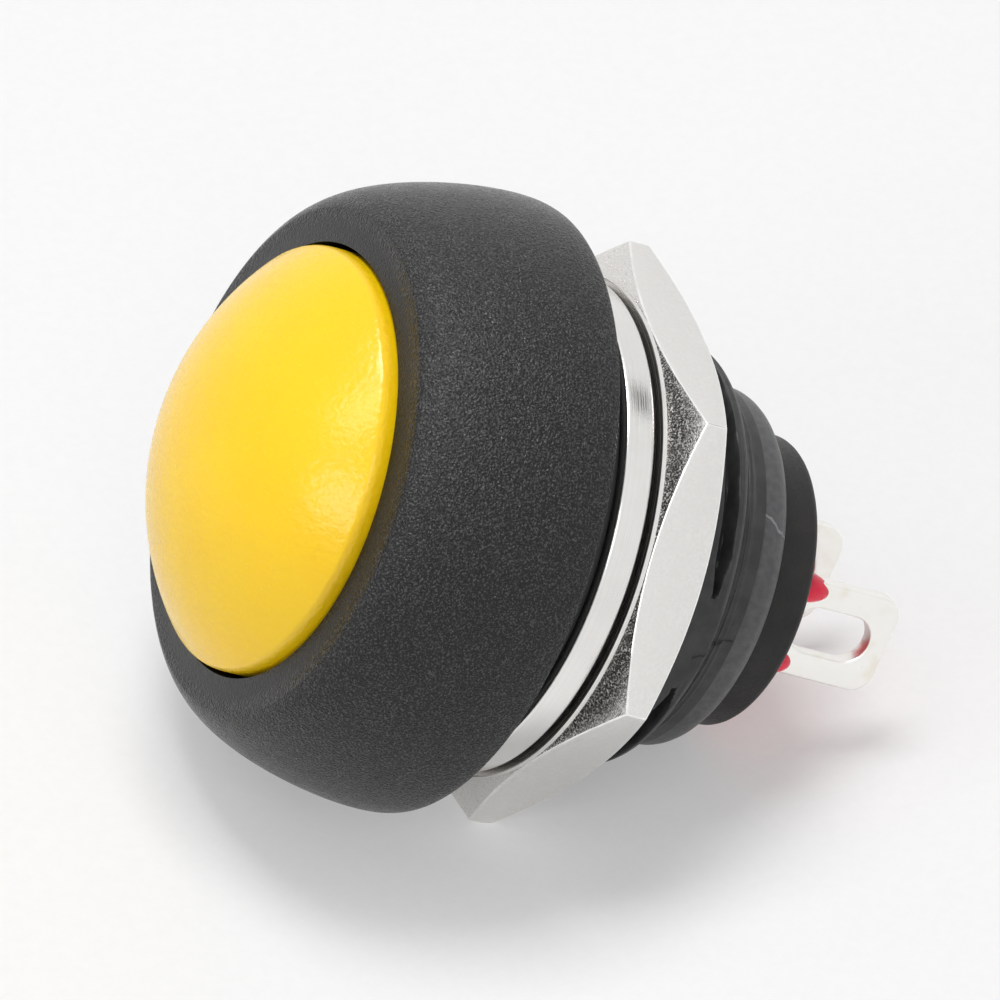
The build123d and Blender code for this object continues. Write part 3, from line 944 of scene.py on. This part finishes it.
@dataclass
class SolderLugs:
    """The two tinned solder lugs, bent strips with an oblong eye."""

    thickness: float = 0.5
    width: float = 2.8
    corner: float = 0.6
    eye_width: float = 1.36
    eye_length: float = 2.40
    eye_rim: float = 0.55
    eye_steps: int = 16
    edge: float = 0.06
    sharp: float = 1.2
    strip: TinnedStrip = TinnedStrip()

    def build(self) -> None:
        """Build both lugs."""
        material = self.strip.make()
        for node in ("terminal_left", "terminal_right"):
            self.build_lug(node, material)

    def build_lug(self, node: str, material: Material) -> None:
        """Build the lug of a terminal's node, with its finish."""
        low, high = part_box(node)
        side = 1 if high.x > 0 else -1
        inner, foot = (low.x, high.x) if side > 0 else (high.x, low.x)
        outer = inner + side * self.thickness * MM
        half, tip, start = self.width / 2 * MM, high.y, low.y
        bm = bmesh.new()
        corners = [(start, -half), (tip, -half), (tip, half), (start, half)]
        drawn = outline(bm, [Vector((inner, y, z)) for y, z in corners])
        round_corners(bm, drawn[1:3], self.corner, 8)
        radius = self.eye_width / 2 * MM
        top = tip - self.eye_rim * MM
        eye = []
        for centre, first in ((top - radius, -90), (top - self.eye_length * MM + radius, 90)):
            for k in range(self.eye_steps + 1):
                angle = math.radians(first + 180 * k / self.eye_steps)
                eye.append((centre + radius * math.cos(angle), radius * math.sin(angle)))
        outline(bm, [Vector((inner, y, z)) for y, z in eye])
        bmesh.ops.triangle_fill(bm, use_beauty=True, use_dissolve=True, edges=bm.edges[:])
        bmesh.ops.recalc_face_normals(bm, faces=bm.faces)
        made = bmesh.ops.extrude_face_region(bm, geom=bm.faces[:])
        moved = [v for v in made["geom"] if isinstance(v, bmesh.types.BMVert)]
        bmesh.ops.translate(bm, verts=moved, vec=(outer - inner, 0, 0))
        bmesh.ops.recalc_face_normals(bm, faces=bm.faces)
        soften(bm, [e for e in bm.edges if e.calc_face_angle(0.0) > self.sharp], self.edge)
        bmesh.ops.create_cube(bm, size=1.0, matrix=Matrix.Translation(
            ((outer + foot) / 2, start + self.thickness / 2 * MM, 0)) @ Matrix.Diagonal(
            (abs(foot - outer), self.thickness * MM, self.width * MM, 1.0)))
        finish_piece(bm, node.replace("terminal", "lug"), [material], Body.SWITCH,
                     node, 35)


@dataclass
class Potting:
    """The red resin: a filled well and a blob that climbs each leg of the lugs."""

    steps: int = 120
    well: float = 3.45
    drop: float = 0.08
    depth: float = 0.7
    climb: float = 0.03
    climb_width: float = 0.25
    sag: float = 0.04
    lug_offset: float = 2.15
    leg_offset: float = 1.04
    spread: float = 1.06
    lift: float = 0.25
    reach_high: float = 1.18
    reach_low: float = 0.98
    blob: tuple[float, float] = (0.60, 0.46)
    resin: Resin = Resin()

    def build(self) -> None:
        """Build the pool and its blobs."""
        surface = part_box("terminal_base")[1].y / MM - self.drop
        floor = surface - self.depth
        bm = turned([(0.0, floor), (self.well, floor), (self.well, surface + self.climb),
                     (self.well - self.climb_width, surface - self.sag / 2),
                     (0.0, surface - self.sag)], self.steps)
        across, along = self.blob
        for x in (-self.lug_offset, self.lug_offset):
            for z in (-self.leg_offset, self.leg_offset):
                reach = self.reach_high if z > 0 else self.reach_low
                shape = Matrix.Translation(Vector((x, surface + self.lift, z * self.spread)) * MM)
                shape @= Matrix.Diagonal((across * MM, reach * MM, along * MM, 1.0))
                bmesh.ops.create_icosphere(bm, subdivisions=4, radius=1.0, matrix=shape)
        finish_piece(bm, "resin_fill", [self.resin.make(surface)], Body.SWITCH,
                     "potting", 60)


@dataclass
class ReturnSpring:
    """The spring behind the cap, drawn at its pressed length so that it stays inside the cap."""

    wire: float = 0.40
    turns: float = 4.5
    travel: float = 1.5
    steps: int = 24
    steel: PlainMetal = PlainMetal("return_spring_wire", (0.58, 0.57, 0.55), roughness=0.26)

    def build(self) -> None:
        """Wind the coil by a spin that also moves along the axis."""
        low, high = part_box("return_spring")
        radius = (high.x - low.x) / (2 * MM) - self.wire / 2
        front, rear = low.y / MM + self.travel + self.wire / 2, high.y / MM - self.wire / 2
        count = int(self.turns * self.steps)
        bm = bmesh.new()
        section = bmesh.ops.create_circle(bm, segments=10, radius=self.wire / 2 * MM,
                                          matrix=Matrix.Translation(place(radius, front)))
        bmesh.ops.spin(bm, geom=section["verts"] + list(bm.edges), cent=(0, 0, 0), axis=AXIS,
                       dvec=AXIS * ((rear - front) * MM / count), angle=2 * math.pi * self.turns,
                       steps=count)
        bmesh.ops.holes_fill(bm, edges=[edge for edge in bm.edges if edge.is_boundary])
        bmesh.ops.recalc_face_normals(bm, faces=bm.faces)
        finish_piece(bm, "return_coil", [self.steel.make()], Body.SWITCH,
                     "return_spring", 50)


@dataclass
class Works:
    """The hidden works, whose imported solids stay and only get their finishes."""

    acetal: SmoothPlastic = SmoothPlastic("plunger_acetal", (0.80, 0.79, 0.74), roughness=0.38)
    rubber: SmoothPlastic = SmoothPlastic("seal_rubber", (0.018, 0.018, 0.018), roughness=0.55)
    steel: PlainMetal = PlainMetal("spring_wire", (0.58, 0.57, 0.55), roughness=0.26)
    brass: PlainMetal = PlainMetal("bridge_brass", (0.80, 0.58, 0.28), roughness=0.30)
    silver: PlainMetal = PlainMetal("contact_silver", (0.90, 0.89, 0.86), roughness=0.22)

    def build(self) -> None:
        """Give every inner node its finish."""
        finishes = {
            self.acetal: ("plunger",), self.rubber: ("plunger_seal",),
            self.steel: ("contact_spring", "bridge_clip"), self.brass: ("contact_bridge",),
            self.silver: ("bridge_contact_left", "bridge_contact_right", "fixed_contact_left",
                          "fixed_contact_right"),
        }
        for finish, nodes in finishes.items():
            material = finish.make()
            for node in nodes:
                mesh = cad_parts[node].data
                mesh.materials.clear()
                mesh.materials.append(material)
                LOG.info("%s: packed solid, finish %s", node, material.name)


# ---- Table, light and camera ----


def towards(azimuth: float, elevation: float) -> Vector:
    """Give the direction of an azimuth, from -Y towards +X, and an elevation, in degrees."""
    turn, lift = math.radians(azimuth), math.radians(elevation)
    return Vector((math.sin(turn) * math.cos(lift), -math.cos(turn) * math.cos(lift),
                   math.sin(lift)))


def facing(direction: Vector, location: Vector) -> Matrix:
    """Give the matrix of a thing at a location whose Z axis has a direction."""
    matrix = direction.to_track_quat("Z", "Y").to_matrix().to_4x4()
    matrix.translation = location
    return matrix


@dataclass
class Table:
    """The pale table: the switch lies on its rim and two corners of its nut."""

    rim: float = 8.45
    nut_corner: float = 8.05
    nut_station: float = 3.28
    corner_turns: tuple[float, float] = (-71.7, -131.7)
    gap: float = 0.02
    size: float = 200.0
    colour: float = 0.84
    fibre: float = 0.012
    glow: float = 0.36
    level: float = 0.92

    def plane(self) -> tuple[Vector, Vector]:
        """Find the normal of the plane on which the switch rests, and a point on it in metres."""
        first, second = (place(self.nut_corner, self.nut_station, t) for t in self.corner_turns)
        point = place(self.rim, 0.0, sum(self.corner_turns) / 2)
        normal = (second - first).normalized().cross(point - first).normalized()
        return (-normal if normal.z < 0 else normal), point

    def build(self) -> None:
        """Build the table as a one-sided sheet under the switch."""
        normal, point = self.plane()
        bm = bmesh.new()
        bmesh.ops.create_circle(bm, cap_ends=True, segments=96, radius=self.size * MM,
                                matrix=facing(normal, point - normal * self.gap * MM))
        bmesh.ops.recalc_face_normals(bm, faces=bm.faces)
        if bm.faces[:][0].normal.dot(normal) < 0:
            bmesh.ops.reverse_faces(bm, faces=bm.faces)
        table = mesh_object(bm, "table_top", [self.material()])
        LOG.info("table_top: normal %.3f %.3f %.3f", *normal)

    def material(self) -> Material:
        """Make matt white board that shows only from above."""
        recipe = Recipe("table_white", Roughness=0.9, Specular_IOR_Level=0.1)
        fibre = recipe.ramp(recipe.grain(0.35, 4.0, 0.7), 0.3, 0.7, 0.0, 1.0)
        dark, pale = ((self.colour + shift,) * 3 for shift in (-self.fibre, self.fibre))
        recipe.colour(recipe.blend(fibre, dark, pale))
        recipe.bump(recipe.grain(0.6, 4.0, 0.6), 0.010)
        light = recipe.node("ShaderNodeEmission")
        light.inputs["Strength"].default_value = self.level
        glow = recipe.math("MULTIPLY", recipe.seen(), self.glow)
        lit = recipe.mixed(glow, recipe.shader.outputs["BSDF"], light.outputs["Emission"])
        clear = recipe.node("ShaderNodeBsdfTransparent").outputs["BSDF"]
        back = recipe.node("ShaderNodeNewGeometry").outputs["Backfacing"]
        recipe.join(recipe.mixed(back, lit, clear), recipe.surface)
        return recipe.material


@dataclass(frozen=True)
class Lamp:
    """A soft box that faces the middle of the switch."""

    name: str
    azimuth: float
    elevation: float
    distance: float
    width: float
    height: float
    power: float

    def build(self) -> None:
        """Build the lamp."""
        light = bpy.data.lights.new(self.name, "AREA")
        light.shape = "RECTANGLE"
        light.size, light.size_y = self.width, self.height
        light.energy = self.power
        lamp = new_object(self.name, light)
        direction = towards(self.azimuth, self.elevation)
        lamp.location = direction * self.distance
        lamp.rotation_euler = direction.to_track_quat("Z", "Y").to_euler()


@dataclass(frozen=True)
class Card:
    """A small black card that hangs over the rear and shows as a dark patch in the plating."""

    name: str = "black_card"
    azimuth: float = 180.0
    elevation: float = 62.0
    distance: float = 0.35
    size: float = 0.080
    paper: SmoothPlastic = SmoothPlastic("card_black", (0.01, 0.01, 0.01), roughness=0.9,
                                         cloud_size=20.0)

    def build(self) -> None:
        """Build the card, facing the switch."""
        direction = towards(self.azimuth, self.elevation)
        bm = bmesh.new()
        bmesh.ops.create_circle(bm, cap_ends=True, segments=32, radius=self.size / 2,
                                matrix=facing(direction, direction * self.distance))
        mesh_object(bm, self.name, [self.paper.make()])


@dataclass
class Studio:
    """World, lamps and view settings. Each lamp has its azimuth, elevation, distance, width,
    height and power after its name."""

    world: float = 0.27
    backdrop: float = 0.93
    lamps: tuple[Lamp, ...] = (
        Lamp("top_lamp", 5.0, 60.0, 0.50, 0.20, 0.20, 1.70),
        Lamp("high_front_lamp", 11.0, 33.0, 0.45, 0.12, 0.22, 0.30),
        Lamp("low_front_lamp", 26.0, 0.0, 0.45, 0.18, 0.14, 0.30),
        Lamp("side_lamp", 62.0, 22.0, 1.30, 0.50, 0.50, 1.90),
    )
    card: Card = Card()

    def build(self) -> None:
        """Set the world, the lamps and the view transform."""
        scene = bpy.context.scene
        scene.view_settings.view_transform = "Standard"
        world = bpy.data.worlds.new("studio_world")
        scene.world = world
        world.use_nodes = True
        tree = Tree(world.node_tree)
        shades = []
        for strength in (self.world, self.backdrop):
            shade = tree.node("ShaderNodeBackground")
            shade.inputs["Color"].default_value = (1, 1, 1, 1)
            shade.inputs["Strength"].default_value = strength
            shades.append(shade.outputs["Background"])
        output = tree.node("ShaderNodeOutputWorld")
        tree.join(tree.mixed(tree.seen(), *shades), output.inputs["Surface"])
        for lamp in self.lamps:
            lamp.build()
        self.card.build()
        LOG.info("studio: %d lamps", len(self.lamps))


@dataclass
class Eye:
    """The camera: a long lens, seen from the front right and a little above."""

    place: tuple[float, float, float] = (0.828301, -0.469093, 0.300781)
    azimuth: float = 60.413
    elevation: float = 17.499
    roll: float = 24.425
    lens: float = 1340.5

    def build(self) -> None:
        """Build the camera and make it the scene's own."""
        back = towards(self.azimuth, self.elevation)
        roll = math.radians(self.roll)
        level = (-back).cross(Vector((0, 0, 1))).normalized()
        upright = level.cross(-back)
        right = level * math.cos(roll) + upright * math.sin(roll)
        up = upright * math.cos(roll) - level * math.sin(roll)
        data = bpy.data.cameras.new("eye")
        data.lens, data.sensor_width = self.lens, 36.0
        data.clip_start, data.clip_end = 0.05, 10.0
        camera = new_object("eye", data)
        axes = Matrix((right, up, back)).transposed().to_4x4()
        axes.translation = Vector(self.place)
        camera.matrix_world = axes
        bpy.context.scene.camera = camera
        LOG.info("camera: lens %.1f mm", data.lens)


def main() -> None:
    """Build the switch, then its table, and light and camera."""
    logging.basicConfig(level=logging.INFO, format="%(name)s %(message)s")
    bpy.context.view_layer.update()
    for part in (Housing(), ButtonCap(), Gasket(), SpacerRing(), HexNut(), TerminalBase(),
                 SolderLugs(), Potting(), ReturnSpring(), Works(), Table(), Studio(), Eye()):
        part.build()


if __name__ == "__main__":
    main()
